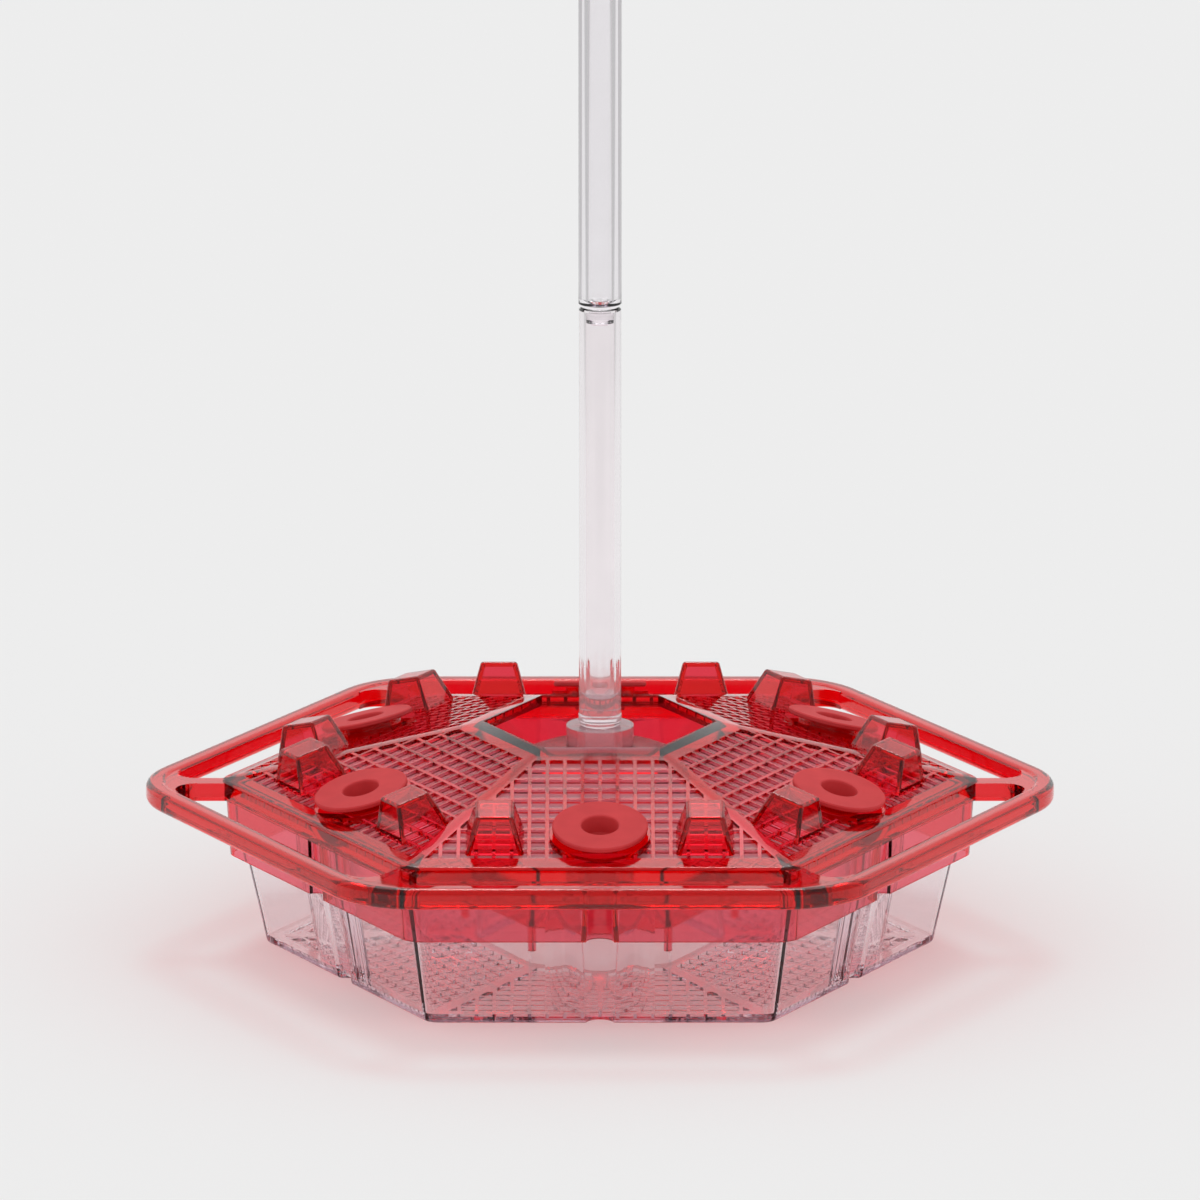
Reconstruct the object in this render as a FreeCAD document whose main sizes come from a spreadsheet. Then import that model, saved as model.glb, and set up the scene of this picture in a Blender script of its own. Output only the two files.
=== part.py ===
import FreeCAD, Part
import math
import os
import Sketcher

# Hummingbird feeder: a clear hexagonal reservoir, a red one-piece cover with its perch rail,
# six soft feeding ports, two clear rods and a hanging hook. Millimetres, +Z up, origin at the foot.
os.makedirs("parts", exist_ok=True)
doc = FreeCAD.newDocument("feeder")
sheet = doc.addObject("Spreadsheet::Sheet", "sizes")

# Every independent size once; the expressions below work out the rest.
SIZES = [
    # reservoir
    ("tray_foot_apothem", "70.8"),
    ("tray_shoulder_apothem", "76.6"),
    ("tray_shoulder_height", "30"),
    ("tray_collar_draft", "0.3"),
    ("tray_wall", "1.9"),
    ("tray_floor", "2.2"),
    ("tray_corner_radius", "5"),
    ("tray_foot_edge", "1.1"),
    ("tray_flute_foot_radius", "3.4"),
    ("tray_flute_top_radius", "4.7"),
    ("island_foot_apothem", "27.5"),
    ("island_shoulder_apothem", "22.6"),
    ("island_shoulder_height", "44"),
    ("island_crown_radius", "16.3"),
    ("island_crown_height", "48.1"),
    ("island_wall", "1.8"),
    ("island_corner_radius", "7"),
    ("hub_radius", "8.2"),
    ("hub_height", "54.6"),
    ("hub_floor_height", "41.6"),
    ("floor_grid_start", "30"),
    ("floor_grid_margin", "2.6"),
    # cover
    ("seat_gap", "0.2"),
    ("cover_seat_height", "36.4"),
    ("cover_seat_apothem", "75.5"),
    ("cover_seat_edge", "0.5"),
    ("cover_haunch", "3.6"),
    ("rim_apothem", "80.2"),
    ("rim_height", "41"),
    ("rim_corner_radius", "6.6"),
    ("rim_edge", "0.9"),
    ("skirt_top_apothem", "79.4"),
    ("skirt_foot_apothem", "78.6"),
    ("skirt_foot_height", "22.3"),
    ("skirt_wall", "1.4"),
    ("skirt_corner_radius", "6"),
    ("skirt_flute_foot_radius", "3.3"),
    ("skirt_flute_top_radius", "2.7"),
    ("well_apothem", "24.5"),
    ("well_top_height", "55.5"),
    ("well_foot_apothem", "27.6"),
    ("well_foot_height", "12"),
    ("well_wall", "1.6"),
    ("peg_radius", "1"),
    ("peg_foot_height", "6.2"),
    ("deck_thickness", "2.5"),
    ("grid_pitch", "4.2"),
    ("grid_rib", "0.85"),
    ("grid_depth", "1"),
    ("deck_grid_row_pitch", "4.75"),
    ("deck_grid_inner_margin", "5.9"),
    ("deck_grid_outer_margin", "4.6"),
    ("corner_rib_width", "3.6"),
    ("block_offset", "25"),
    ("block_distance", "66.2"),
    ("block_foot", "13.3"),
    ("block_top", "8.9"),
    ("block_height", "8"),
    ("block_wall", "1.4"),
    ("block_edge", "0.9"),
    ("rail_apothem", "96.1"),
    ("rail_bend_radius", "21.8"),
    ("rail_section", "5.2"),
    ("rail_edge", "1.6"),
    ("rail_height", "38.3"),
    ("spoke_width", "5"),
    ("spoke_depth", "4.4"),
    ("spoke_flare", "5"),
    # feeding ports
    ("port_distance", "65.6"),
    ("pad_radius", "12"),
    ("pad_height", "0.8"),
    ("boss_radius", "8.5"),
    ("boss_height", "1.7"),
    ("port_hole_radius", "5.65"),
    ("port_fit", "0.15"),
    ("port_disc_radius", "11.4"),
    ("port_disc_thickness", "1.3"),
    ("port_cup_radius", "4.4"),
    ("port_cup_depth", "5"),
    ("port_cup_floor", "1.6"),
    ("port_feed_radius", "1.9"),
    ("port_bead_overhang", "0.6"),
    ("port_bead_depth", "1"),
    ("port_lip", "0.5"),
    # rods
    ("rod_radius", "5.1"),
    ("rod_bead_overhang", "0.15"),
    ("rod_bead_height", "1.4"),
    ("rod_spigot_radius", "3.5"),
    ("rod_spigot_length", "10"),
    ("rod_fit", "0.15"),
    ("rod_plug_length", "7"),
    ("lower_rod_length", "103.6"),
    ("upper_rod_radius", "5.2"),
    ("upper_rod_length", "101"),
    ("upper_spigot_length", "4"),
    ("upper_bore_radius", "2.9"),
    ("rod_round", "1"),
    # hook
    ("hook_spigot_length", "12"),
    ("hook_collar_height", "4"),
    ("hook_stem_length", "9"),
    ("hook_wire_radius", "2.6"),
    ("hook_bend_radius", "12"),
    ("hook_neck_radius", "6"),
    ("hook_tip_angle", "205"),
]
for number, (name, text) in enumerate(SIZES, start=1):
    sheet.set("A%d" % number, name)
    sheet.set("B%d" % number, text)
    sheet.setAlias("B%d" % number, name)
doc.recompute()


def size(name):
    return float(sheet.get(name))


Vec = FreeCAD.Vector
HALF_COS = math.cos(math.radians(30))


def add(kind, name, **values):
    made = doc.addObject(kind, name)
    for key, value in values.items():
        if isinstance(value, str):
            made.setExpression(key.replace("__", "."), value)
        else:
            setattr(made, key, value)
    return made


def hex_solid(name, levels):
    # a stack of six-sided frusta, each the common part of three wedges turned by 60 degrees
    parts = []
    for number in range(len(levels) - 1):
        (low_apothem, low), (high_apothem, high) = levels[number], levels[number + 1]
        wedges = []
        for turn in (90, 30, -30):
            wedge = add("Part::Wedge", "%s_%d_%d" % (name, number + 1, len(wedges) + 1),
                        Xmin="-(%s)" % low_apothem, Xmax=low_apothem,
                        X2min="-(%s)" % high_apothem, X2max=high_apothem,
                        Zmin="-2 * (%s)" % low_apothem, Zmax="2 * (%s)" % low_apothem,
                        Z2min="-2 * (%s)" % low_apothem, Z2max="2 * (%s)" % low_apothem,
                        Ymin=low, Ymax=high)
            spin = FreeCAD.Rotation(Vec(0, 0, 1), turn)
            wedge.Placement = FreeCAD.Placement(Vec(0, 0, 0), spin.multiply(FreeCAD.Rotation(Vec(1, 0, 0), 90)))
            wedges.append(wedge)
        parts.append(add("Part::MultiCommon", "%s_%d" % (name, number + 1), Shapes=wedges))
    if len(parts) == 1:
        return parts[0]
    return fuse(name, parts)


def cut(name, base, tool):
    return add("Part::Cut", name, Base=base, Tool=tool)


def fuse(name, shapes, refine=True):
    return add("Part::MultiFuse", name, Shapes=shapes, Refine=refine)


def rounded(name, base, radius, wanted):
    # wanted(edge) picks the edges that get this radius
    doc.recompute()
    made = doc.addObject("Part::Fillet", name)
    made.Base = base
    made.Edges = [(n, radius, radius) for n, edge in enumerate(base.Shape.Edges, start=1) if wanted(edge)]
    doc.recompute()
    return made


def upright(edge):
    ends = edge.Vertexes
    return len(ends) == 2 and abs(ends[0].Z - ends[1].Z) > 0.5


def at_height(height):
    def wanted(edge):
        return all(abs(end.Z - height) < 0.01 for end in edge.Vertexes)
    return wanted


def turned(angle, point):
    # a point of the front panel carried round to another panel
    turn = FreeCAD.Rotation(Vec(0, 0, 1), angle)
    return turn.multVec(point)


# Reservoir: outer and inner shapes leave an even wall, grooves included.
tray_top = "(sizes.cover_seat_height - sizes.seat_gap)"
shoulder = "sizes.tray_shoulder_apothem"
tray_outer = hex_solid("tray_outer", [
    ("sizes.tray_foot_apothem", "0"),
    (shoulder, "sizes.tray_shoulder_height"),
    (shoulder + " + sizes.tray_collar_draft", tray_top),
])
tray_round = rounded("tray_round", tray_outer, size("tray_corner_radius"), upright)
tray_soft = rounded("tray_soft", tray_round, size("tray_foot_edge"), at_height(0))
lean = "(sizes.tray_shoulder_apothem - sizes.tray_foot_apothem) / sizes.tray_shoulder_height"
tray_inner = hex_solid("tray_inner", [
    ("sizes.tray_foot_apothem - sizes.tray_wall + sizes.tray_floor * " + lean, "sizes.tray_floor"),
    (shoulder + " - sizes.tray_wall", "sizes.tray_shoulder_height"),
    (shoulder + " + 1.5 * sizes.tray_collar_draft - sizes.tray_wall",
     "1.5 * %s - 0.5 * sizes.tray_shoulder_height" % tray_top),
])
tray_inner_round = rounded("tray_inner_round", tray_inner,
                           size("tray_corner_radius") - size("tray_wall"), upright)


def flutes(name, foot_radius, top_radius, foot_apothem, top_apothem, low, high, below, above):
    # six leaning cones, one in the middle of each side, run past both ends
    lean_length = math.hypot(high - low, top_apothem - foot_apothem)
    slope = math.atan2(top_apothem - foot_apothem, high - low)
    growth = (top_radius - foot_radius) / lean_length
    made = []
    for side in range(6):
        cone = doc.addObject("Part::Cone", "%s_%d" % (name, side + 1))
        cone.Radius1 = foot_radius - growth * below
        cone.Radius2 = top_radius + growth * above
        cone.Height = lean_length + below + above
        axis = Vec(0, -math.sin(slope), math.cos(slope))
        start = Vec(0, -foot_apothem, low) - axis * below
        turn = FreeCAD.Rotation(Vec(0, 0, 1), 60 * side)
        tilt = FreeCAD.Rotation(Vec(0, 0, 1), axis)
        cone.Placement = FreeCAD.Placement(turn.multVec(start), turn.multiply(tilt))
        made.append(cone)
    return fuse(name, made)


def tray_flutes(name, extra):
    return flutes(name, size("tray_flute_foot_radius") + extra, size("tray_flute_top_radius") + extra,
                  size("tray_foot_apothem"), size("tray_shoulder_apothem"),
                  0, size("tray_shoulder_height"), 4, 12)


tray_fluted = cut("tray_fluted", tray_soft, tray_flutes("tray_flutes", 0))
tray_room = cut("tray_room", tray_inner_round, tray_flutes("tray_flute_walls", size("tray_wall")))
tray_shell = cut("tray_shell", tray_fluted, tray_room)

# Island: a hexagonal foot under a shallow cone, hollow from below, with the hub on top.
rise = "(sizes.island_foot_apothem - sizes.island_shoulder_apothem) / sizes.island_shoulder_height"
island_block = hex_solid("island_block", [
    ("sizes.island_foot_apothem", "0"),
    ("sizes.island_foot_apothem - sizes.island_crown_height * " + rise, "sizes.island_crown_height"),
])
crown = "sizes.island_crown_height - sizes.island_shoulder_height"
corner = "sizes.island_shoulder_apothem / cos(30 deg)"
island_cone = add("Part::Cone", "island_cone", Radius1=corner, Radius2="sizes.island_crown_radius",
                  Height=crown, Placement__Base__z="sizes.island_shoulder_height")
island_column = add("Part::Cylinder", "island_column", Radius=corner + " + 20",
                    Height="sizes.island_shoulder_height")
island_cap = fuse("island_cap", [island_cone, island_column])
island_round = rounded("island_round", island_block, size("island_corner_radius"), upright)
island_body = add("Part::Common", "island_body", Base=island_round, Tool=island_cap)
hub_post = add("Part::Cylinder", "hub_post", Radius="sizes.hub_radius",
               Height="sizes.hub_height - sizes.hub_floor_height",
               Placement__Base__z="sizes.hub_floor_height")
hollow_block = hex_solid("hollow_block", [
    ("sizes.island_foot_apothem - sizes.island_wall + 1 * " + rise, "-1"),
    ("sizes.island_foot_apothem - sizes.island_wall - (sizes.island_crown_height - sizes.island_wall) * " + rise,
     "sizes.island_crown_height - sizes.island_wall"),
])
hollow_cone = add("Part::Cone", "hollow_cone", Radius1=corner + " - sizes.island_wall",
                  Radius2="sizes.island_crown_radius - sizes.island_wall",
                  Height=crown, Placement__Base__z="sizes.island_shoulder_height - sizes.island_wall")
hollow_column = add("Part::Cylinder", "hollow_column", Radius=corner + " + 20",
                    Height="sizes.island_shoulder_height - sizes.island_wall + 1", Placement__Base__z="-1")
hollow_cap = fuse("hollow_cap", [hollow_cone, hollow_column])
hollow_round = rounded("hollow_round", hollow_block,
                       size("island_corner_radius") - size("island_wall"), upright)
hollow_body = add("Part::Common", "hollow_body", Base=hollow_round, Tool=hollow_cap)
hub_hole = add("Part::Cylinder", "hub_hole", Radius="sizes.rod_spigot_radius + sizes.rod_fit",
               Height="sizes.rod_spigot_length + 1 + 2",
               Placement__Base__z="sizes.hub_height - sizes.rod_spigot_length - 1")


def clipped(polygon, line):
    # keep the part of a convex polygon where a*s + b*v + c is not negative
    a, b, c = line
    out = []
    for number, here in enumerate(polygon):
        there = polygon[(number + 1) % len(polygon)]
        now = a * here[0] + b * here[1] + c
        then = a * there[0] + b * there[1] + c
        if now >= 0:
            out.append(here)
        if (now > 0 and then < 0) or (now < 0 and then > 0):
            part = now / (now - then)
            out.append((here[0] + part * (there[0] - here[0]), here[1] + part * (there[1] - here[1])))
    return out


def area(polygon):
    total = 0
    for number, here in enumerate(polygon):
        there = polygon[(number + 1) % len(polygon)]
        total += here[0] * there[1] - there[0] * here[1]
    return abs(total) / 2


def grid(name, outer, inner, surface, fall, row_pitch, skip):
    # Pockets of one trapezoid panel, carried round six sides. The solid keeps every second rib of
    # the real pitch. outer and inner are apothems; surface(apothem) is the height of the face.
    step = 2 * size("grid_pitch")
    row_step = 2 * size(row_pitch)
    rib = size("grid_rib")
    slope_cos = math.cos(fall)
    length = (outer - inner) / slope_cos
    tan = math.tan(math.radians(30))
    side = size("corner_rib_width") / 2 / HALF_COS
    reach = int(outer * tan / step) + 2
    normal = Vec(0, -math.sin(fall), math.cos(fall))
    cells = []
    for row in range(int(length / row_step) + 1):
        low = row * row_step
        high = min(low + row_step - rib, length)
        if high - low < 1.2:
            continue
        for column in range(-reach, reach):
            left = column * step + rib / 2
            right = left + step - rib
            shape = [(low, left), (high, left), (high, right), (low, right)]
            shape = clipped(shape, (-slope_cos * tan, -1, outer * tan - side))
            if len(shape) > 2:
                shape = clipped(shape, (-slope_cos * tan, 1, outer * tan - side))
            if len(shape) < 3 or area(shape) < 2.5:
                continue
            if all(skip(outer - s * slope_cos, v) for s, v in shape):
                continue
            points = []
            for s, v in shape:
                apothem = outer - s * slope_cos
                points.append(Vec(v, -apothem, surface(apothem)) + normal * 0.5)
            points.append(points[0])
            face = Part.Face(Part.makePolygon(points))
            cells.append(face.extrude(normal * -(0.5 + size("grid_depth"))))
    whole = []
    for panel in range(6):
        for cell in cells:
            copy = cell.copy()
            copy.rotate(Vec(0, 0, 0), Vec(0, 0, 1), 60 * panel)
            whole.append(copy)
    made = doc.addObject("Part::Feature", name)
    made.Shape = Part.makeCompound(whole)
    return made


floor_outer = size("tray_foot_apothem") - size("tray_wall") - size("floor_grid_margin")
floor_grid = grid("floor_grid", floor_outer, size("floor_grid_start"),
                  lambda apothem: size("tray_floor"), 0.0, "grid_pitch", lambda a, v: False)
island_shell = cut("island_shell", island_body, hollow_body)
island_hub = fuse("island_hub", [island_shell, hub_post])
island = cut("island", island_hub, hub_hole)
tray_open = cut("tray_open", tray_shell, hollow_body)
tray_gridded = cut("tray_gridded", tray_open, floor_grid)
base_tray = fuse("base_tray", [tray_gridded, island], False)

# Cover: roof, rim and skirt are one moulding.
fall_rate = (size("well_top_height") - size("rim_height")) / (size("rim_apothem") - size("well_apothem"))
fall = math.atan(fall_rate)
rate = "((sizes.well_top_height - sizes.rim_height) / (sizes.rim_apothem - sizes.well_apothem))"
roof = hex_solid("roof", [
    ("sizes.rim_apothem", "sizes.cover_seat_height"),
    ("sizes.rim_apothem", "sizes.rim_height"),
    ("sizes.well_apothem - 5", "sizes.well_top_height + 5 * " + rate),
])
rim_prism = add("Part::Prism", "rim_prism", Polygon=6,
                Circumradius="sizes.rim_apothem / cos(30 deg)", Height=30.0,
                Placement__Base__z="sizes.cover_seat_height")
rim_round = rounded("rim_round", rim_prism, size("rim_corner_radius"), upright)
cap_plain = add("Part::Common", "cap_plain", Base=roof, Tool=rim_round)


def rim_line(edge):
    box = edge.BoundBox
    far = math.hypot(edge.valueAt(edge.FirstParameter).x, edge.valueAt(edge.FirstParameter).y)
    inside = box.ZMin > size("rim_height") - 0.01 and box.ZMax < size("rim_height") + 1.5
    return inside and far > size("rim_apothem") - 1 and box.ZMax - box.ZMin < 1.0


cap = rounded("cap", cap_plain, size("rim_edge"), rim_line)
skirt_block = hex_solid("skirt_block", [
    ("sizes.skirt_foot_apothem", "sizes.skirt_foot_height"),
    ("sizes.skirt_top_apothem", "sizes.cover_seat_height + 0.5"),
])
skirt_round = rounded("skirt_round", skirt_block, size("skirt_corner_radius"), upright)
skirt_room = hex_solid("skirt_room", [
    ("sizes.skirt_foot_apothem - sizes.skirt_wall - 0.1", "sizes.skirt_foot_height - 2"),
    ("sizes.skirt_top_apothem - sizes.skirt_wall", "sizes.cover_seat_height"),
])
skirt_room_round = rounded("skirt_room_round", skirt_room,
                           size("skirt_corner_radius") - size("skirt_wall"), upright)


def skirt_flutes(name, extra, above):
    return flutes(name, size("skirt_flute_foot_radius") + extra, size("skirt_flute_top_radius") + extra,
                  size("skirt_foot_apothem"), size("skirt_top_apothem"),
                  size("skirt_foot_height"), size("cover_seat_height"), 4, above)


skirt_fluted = cut("skirt_fluted", skirt_round, skirt_flutes("skirt_flutes", 0, 3))
skirt_space = cut("skirt_space", skirt_room_round, skirt_flutes("skirt_flute_walls", size("skirt_wall"), 3))
drop = "sizes.deck_thickness / cos(atan(%s))" % rate
haunch_end = "(sizes.cover_seat_apothem - sizes.cover_haunch)"
haunch_under = "sizes.rim_height - %s + (sizes.rim_apothem - %s) * %s" % (drop, haunch_end, rate)
well_under = "sizes.rim_height - %s + (sizes.rim_apothem - sizes.well_apothem + 5) * %s" % (drop, rate)
deck_room = hex_solid("deck_room", [
    ("sizes.cover_seat_apothem", "sizes.cover_seat_height - 1"),
    ("sizes.cover_seat_apothem", "sizes.cover_seat_height + sizes.cover_seat_edge"),
    (haunch_end, haunch_under),
    ("sizes.well_apothem - 5", well_under),
])
cover_block = fuse("cover_block", [cap, skirt_fluted])
cover_skirted = cut("cover_skirted", cover_block, skirt_space)
cover_shell = cut("cover_shell", cover_skirted, deck_room)


def deck_height(apothem):
    return size("rim_height") + (size("rim_apothem") - apothem) * fall_rate


def under_fitting(apothem, v):
    # true where the deck is covered by a port pad or a raised block
    along = (apothem - size("port_distance")) / math.cos(fall)
    if math.hypot(along, v) < size("pad_radius") - 0.3:
        return True
    half = size("block_foot") / 2 - 0.3
    along = (apothem - size("block_distance")) / math.cos(fall)
    return abs(along) < half and abs(abs(v) - size("block_offset")) < half


deck_grid = grid("deck_grid", size("rim_apothem") - size("deck_grid_outer_margin"),
                 size("well_apothem") + size("deck_grid_inner_margin"), deck_height, fall,
                 "deck_grid_row_pitch", under_fitting)
cover_grid = cut("cover_grid", cover_shell, deck_grid)

well_outer = hex_solid("well_outer", [
    ("sizes.well_foot_apothem + sizes.well_wall", "sizes.well_foot_height"),
    ("sizes.well_apothem + sizes.well_wall + 0.1", "sizes.well_top_height - 1.5"),
])
flare = "(sizes.well_foot_apothem - sizes.well_apothem) / (sizes.well_top_height - sizes.well_foot_height)"
well_inner = hex_solid("well_inner", [
    ("sizes.well_foot_apothem + 2 * " + flare, "sizes.well_foot_height - 2"),
    ("sizes.well_apothem - 4 * " + flare, "sizes.well_top_height + 4"),
])
peg_reach = (size("well_foot_apothem") + size("well_wall") / 2) / HALF_COS
pegs = []
for number in range(6):
    peg = add("Part::Cylinder", "peg_%d" % (number + 1), Radius="sizes.peg_radius",
              Height="sizes.well_foot_height - sizes.peg_foot_height + 2")
    peg.Placement = FreeCAD.Placement(
        turned(60 * number, Vec(peg_reach, 0, size("peg_foot_height"))), FreeCAD.Rotation())
    pegs.append(peg)

# Perch rail: a rounded hexagon of rounded-square section, carried by a spoke at each corner.
half = size("rail_section") / 2
rail_blocks = []
for name, sign in (("rail_outer", 1), ("rail_inner", -1)):
    block = add("Part::Prism", name, Polygon=6,
                Circumradius="(sizes.rail_apothem + %d * sizes.rail_section / 2) / cos(30 deg)" % sign,
                Height="sizes.rail_section" if sign > 0 else "sizes.rail_section + 2",
                Placement__Base__z="sizes.rail_height - sizes.rail_section / 2 - %d" % (0 if sign > 0 else 1))
    rail_blocks.append(rounded(name + "_round", block, size("rail_bend_radius") + sign * half, upright))
rail_square = cut("rail_square", rail_blocks[0], rail_blocks[1])
rail = rounded("rail", rail_square, size("rail_edge"), lambda edge: edge.BoundBox.ZLength < 0.01)

bend_centre = (size("rail_apothem") - size("rail_bend_radius")) / HALF_COS
bend_inner = size("rail_bend_radius") - half
flare_y = size("spoke_width") / 2 + size("spoke_flare")
flare_x = bend_centre + math.sqrt((bend_inner - size("spoke_flare")) ** 2 - flare_y ** 2)
scale = bend_inner / (bend_inner - size("spoke_flare"))
web_y = flare_y * scale
spoke_start = size("rim_apothem") / HALF_COS - 4
spoke_end = bend_centre + size("rail_bend_radius")
spoke_low = size("rail_height") - size("spoke_depth") / 2
spokes = []
for number in range(6):
    bar = add("Part::Box", "spoke_bar_%d" % (number + 1), Width="sizes.spoke_width",
              Height="sizes.spoke_depth", Length=spoke_end - spoke_start)
    turn = FreeCAD.Rotation(Vec(0, 0, 1), 60 * number)
    bar.Placement = FreeCAD.Placement(
        turn.multVec(Vec(spoke_start, -size("spoke_width") / 2, spoke_low)), turn)
    web = add("Part::Box", "spoke_web_%d" % (number + 1), Width=2 * web_y, Height="sizes.spoke_depth",
              Length=spoke_end - 0.8 - flare_x)
    web.Placement = FreeCAD.Placement(turn.multVec(Vec(flare_x, -web_y, spoke_low)), turn)
    bites = []
    for sign in (1, -1):
        bite = add("Part::Cylinder", "spoke_bite_%d_%d" % (number + 1, 1 if sign > 0 else 2),
                   Radius="sizes.spoke_flare", Height="sizes.spoke_depth + 2")
        bite.Placement = FreeCAD.Placement(turn.multVec(Vec(flare_x, sign * flare_y, spoke_low - 1)), turn)
        bites.append(bite)
    web_cut = cut("spoke_flare_%d" % (number + 1), web, fuse("spoke_bites_%d" % (number + 1), bites))
    spokes.append(bar)
    spokes.append(web_cut)


def panel_frame(panel, apothem, v, lift):
    # local X along the rim, local Z square to the deck, origin lifted from the deck face
    turn = FreeCAD.Rotation(Vec(0, 0, 1), 60 * panel)
    normal = Vec(0, -math.sin(fall), math.cos(fall))
    point = Vec(v, -apothem, deck_height(apothem)) + normal * lift
    tilt = FreeCAD.Rotation(Vec(1, 0, 0), math.degrees(fall))
    return FreeCAD.Placement(turn.multVec(point), turn.multiply(tilt))


# Pads and bosses under the ports, and the hollow blocks beside them.
fittings = []
openings = []
for panel in range(6):
    for label, radius, height in (("pad", "sizes.pad_radius", "pad_height"),
                                  ("boss", "sizes.boss_radius", "boss_height")):
        disc = add("Part::Cylinder", "%s_%d" % (label, panel + 1), Radius=radius,
                   Height="sizes.%s + 1.5" % height)
        disc.Placement = panel_frame(panel, size("port_distance"), 0, -1.5)
        fittings.append(disc)
    hole = add("Part::Cylinder", "port_hole_%d" % (panel + 1), Radius="sizes.port_hole_radius",
               Height="sizes.boss_height + sizes.deck_thickness + 4")
    hole.Placement = panel_frame(panel, size("port_distance"), 0, -size("deck_thickness") - 2)
    openings.append(hole)
    for label, sign in (("left", -1), ("right", 1)):
        taper = (size("block_foot") - size("block_top")) / 2 / size("block_height")
        sink = 1.5
        solid = doc.addObject("Part::Wedge", "block_%s_%d" % (label, panel + 1))
        foot = size("block_foot") / 2 + taper * sink
        top = size("block_top") / 2
        solid.Xmin, solid.Xmax, solid.Zmin, solid.Zmax = -foot, foot, -foot, foot
        solid.X2min, solid.X2max, solid.Z2min, solid.Z2max = -top, top, -top, top
        solid.Ymin, solid.Ymax = -sink, size("block_height")
        flip = FreeCAD.Placement(Vec(0, 0, 0), FreeCAD.Rotation(Vec(1, 0, 0), 90))
        frame = panel_frame(panel, size("block_distance"), sign * size("block_offset"), 0).multiply(flip)
        solid.Placement = frame
        doc.recompute()
        back = frame.inverse()

        def above_foot(edge, back=back):
            return max(back.multVec(end.Point).y for end in edge.Vertexes) > 0

        fittings.append(rounded("block_%s_%d_round" % (label, panel + 1), solid, size("block_edge"), above_foot))
        room = doc.addObject("Part::Wedge", "block_%s_%d_room" % (label, panel + 1))
        deep = size("deck_thickness") + 1
        room_foot = size("block_foot") / 2 - size("block_wall") + taper * deep
        room_top = top - size("block_wall") + taper * size("block_wall")
        room.Xmin, room.Xmax, room.Zmin, room.Zmax = -room_foot, room_foot, -room_foot, room_foot
        room.X2min, room.X2max, room.Z2min, room.Z2max = -room_top, room_top, -room_top, room_top
        room.Ymin, room.Ymax = -deep, size("block_height") - size("block_wall")
        room.Placement = frame
        openings.append(room)

cover_full = fuse("cover_full", [cover_grid, well_outer, rail] + pegs + spokes + fittings, False)
cover_room = add("Part::Compound", "cover_room", Links=[well_inner] + openings)
cover = cut("cover", cover_full, cover_room)


# Turned parts: one closed profile each, every corner of it placed by named sizes.
def turned_body(name, points):
    body = doc.addObject("PartDesign::Body", name)
    sketch = body.newObject("Sketcher::SketchObject", name + "_profile")
    plane = [item for item in body.Origin.OriginFeatures if item.Role == "XZ_Plane"][0]
    sketch.AttachmentSupport = [(plane, "")]
    sketch.MapMode = "FlatFace"
    doc.recompute()
    # the helper cells hold the worked-out value of every corner
    flat = []
    for x_text, z_text in points:
        pair = []
        for text in (x_text, z_text):
            probe.set("A1", "=" + text)
            doc.recompute([probe])
            pair.append(float(probe.get("A1")))
        flat.append(pair)
    count = len(flat)
    for number in range(count):
        here = flat[number]
        there = flat[(number + 1) % count]
        sketch.addGeometry(Part.LineSegment(Vec(here[0], here[1], 0), Vec(there[0], there[1], 0)))
    for number in range(count):
        sketch.addConstraint(Sketcher.Constraint("Coincident", number, 2, (number + 1) % count, 1))
    for number, (x_text, z_text) in enumerate(points):
        for kind, text, value in (("DistanceX", x_text, flat[number][0]), ("DistanceY", z_text, flat[number][1])):
            if text == "0":
                sketch.addConstraint(Sketcher.Constraint("PointOnObject", number, 1, -2 if kind == "DistanceX" else -1))
                continue
            index = sketch.addConstraint(Sketcher.Constraint(kind, -1, 1, number, 1, value))
            sketch.setExpression("Constraints[%d]" % index, text)
    turn = body.newObject("PartDesign::Revolution", name + "_turn")
    turn.Profile = sketch
    turn.ReferenceAxis = (sketch, ["V_Axis"])
    turn.Angle = 360
    body.Tip = turn
    return body


probe = doc.addObject("Spreadsheet::Sheet", "probe")
hub = "sizes.hub_height"
low_top = "(sizes.hub_height + sizes.seat_gap + sizes.lower_rod_length)"
seat = "(sizes.hub_height + sizes.seat_gap)"
spigot = "sizes.rod_spigot_radius"
bead = "sizes.rod_radius + sizes.rod_bead_overhang"
lower_rod = turned_body("lower_rod", [
    ("0", hub + " - sizes.rod_spigot_length"),
    (spigot, hub + " - sizes.rod_spigot_length"),
    (spigot, seat),
    ("sizes.rod_radius - 0.4", seat),
    ("sizes.rod_radius", seat + " + 0.5"),
    ("sizes.rod_radius", seat + " + 1"),
    (bead, seat + " + 1.3"),
    (bead, seat + " + 1.3 + sizes.rod_bead_height"),
    ("sizes.rod_radius", seat + " + 1.6 + sizes.rod_bead_height"),
    ("sizes.rod_radius", low_top + " - 0.4"),
    ("sizes.rod_radius - 0.4", low_top),
    (spigot, low_top),
    (spigot, seat + " + sizes.rod_plug_length + 1.2"),
    (spigot + " - 1.2", seat + " + sizes.rod_plug_length"),
    ("0", seat + " + sizes.rod_plug_length"),
])
up_seat = "(%s + sizes.seat_gap)" % low_top
up_top = "(%s + sizes.upper_rod_length)" % up_seat
neck = "sizes.rod_spigot_radius - sizes.rod_fit"
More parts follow.
